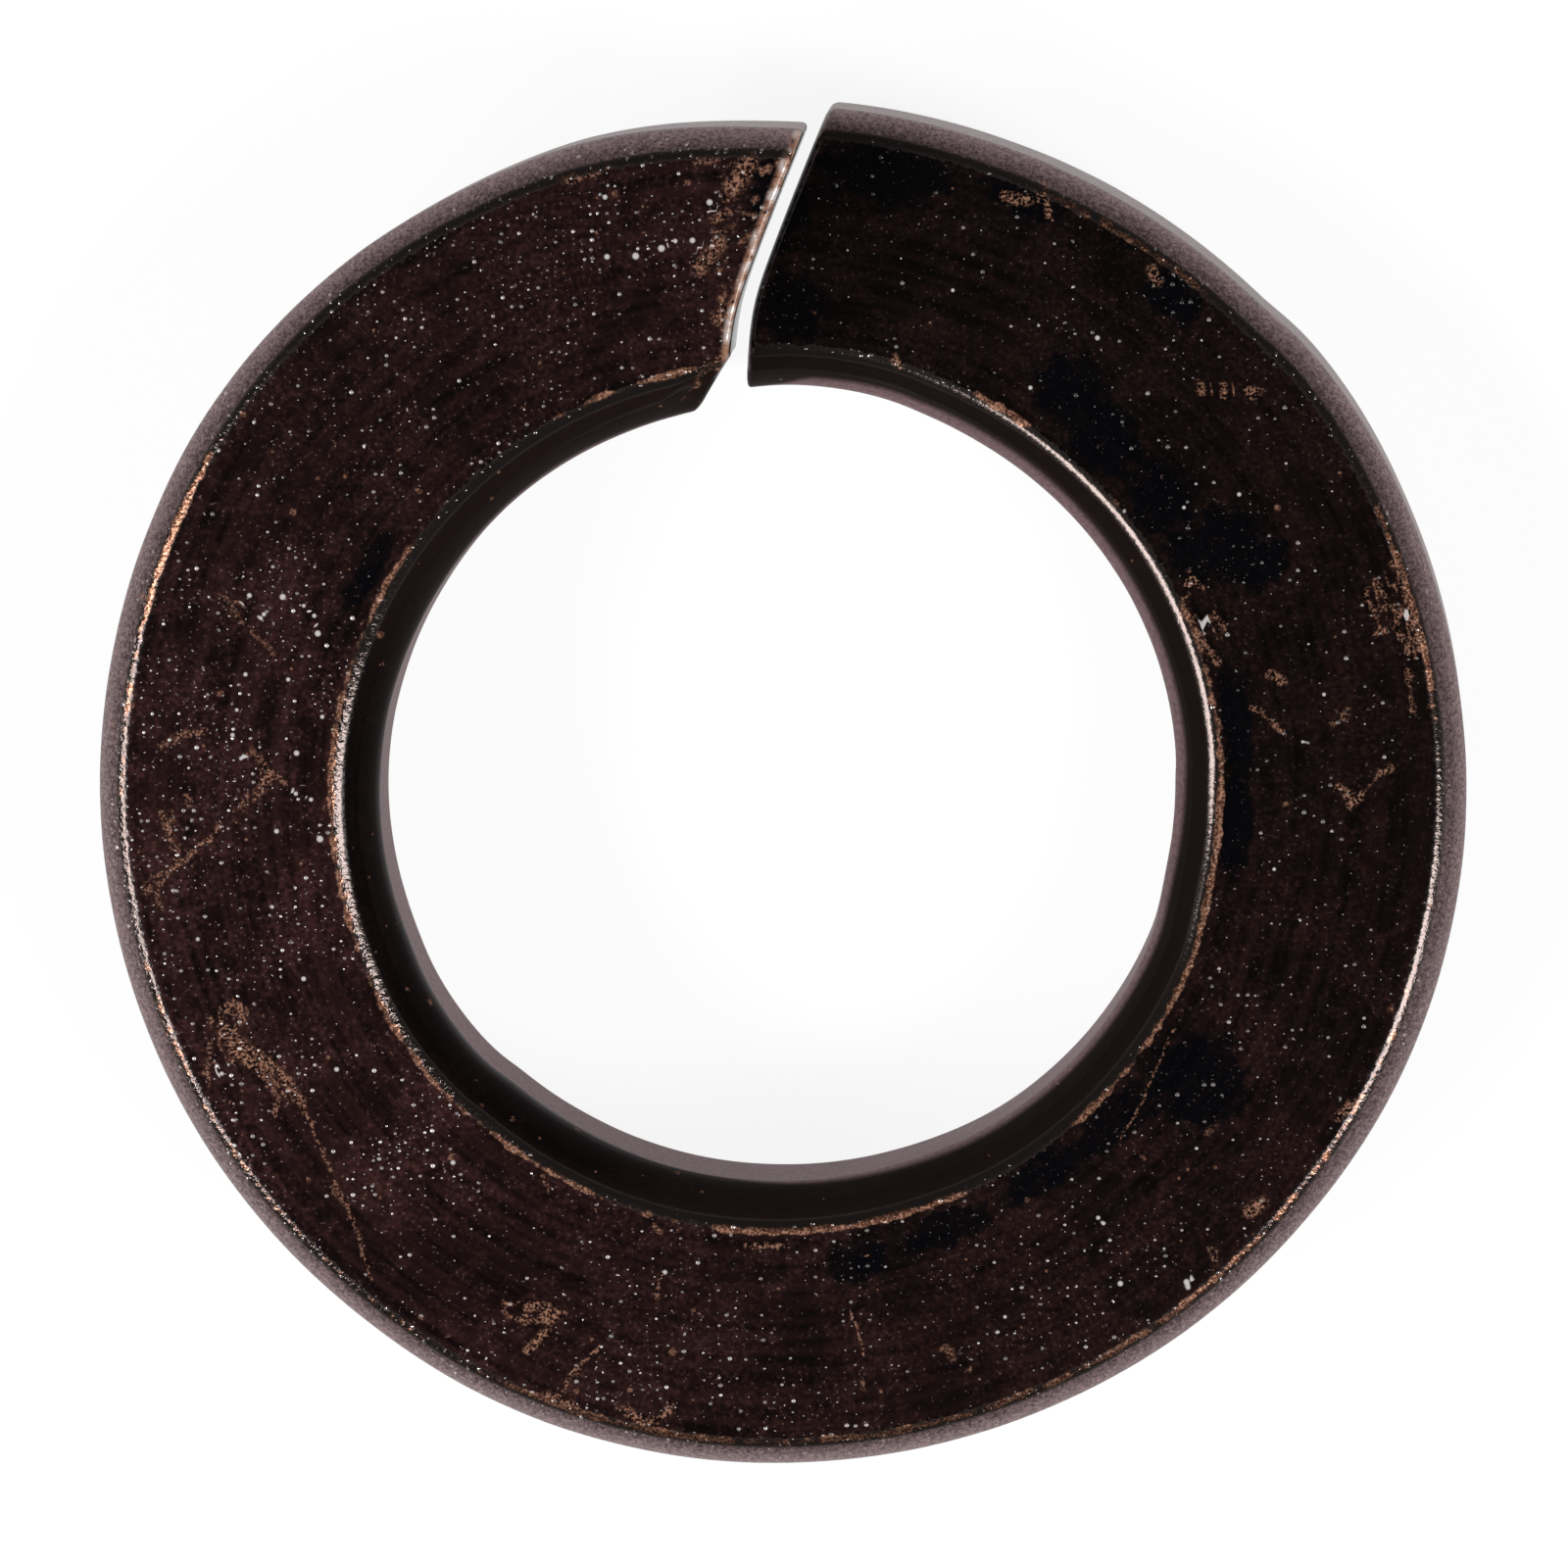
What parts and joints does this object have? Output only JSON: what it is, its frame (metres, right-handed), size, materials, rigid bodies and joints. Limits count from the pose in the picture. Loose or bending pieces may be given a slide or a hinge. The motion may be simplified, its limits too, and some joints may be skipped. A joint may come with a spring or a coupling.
{
  "type": "spring lock washer",
  "caption": "Spring lock washer for an 8 mm bolt: a left-hand turn of flat, blackened spring wire with a slanted sheared split and a raised end.",
  "frame": {"origin": "on the bore's axis, in the plane that the underside of the lower end touches", "axes": "+Z along the bore's axis, from the lower end towards the raised end; +Y towards the split; +X to the right of the split seen from above"},
  "size_m": [0.0144, 0.0144, 0.0041],
  "materials": {
    "blackened_spring_steel": "black oxide with a brown tint, semi-gloss, worn to copper-brown on the edges"
  },
  "bodies": {
    "root": {"lock_washer": "blackened_spring_steel"}
  },
  "joints": []
}
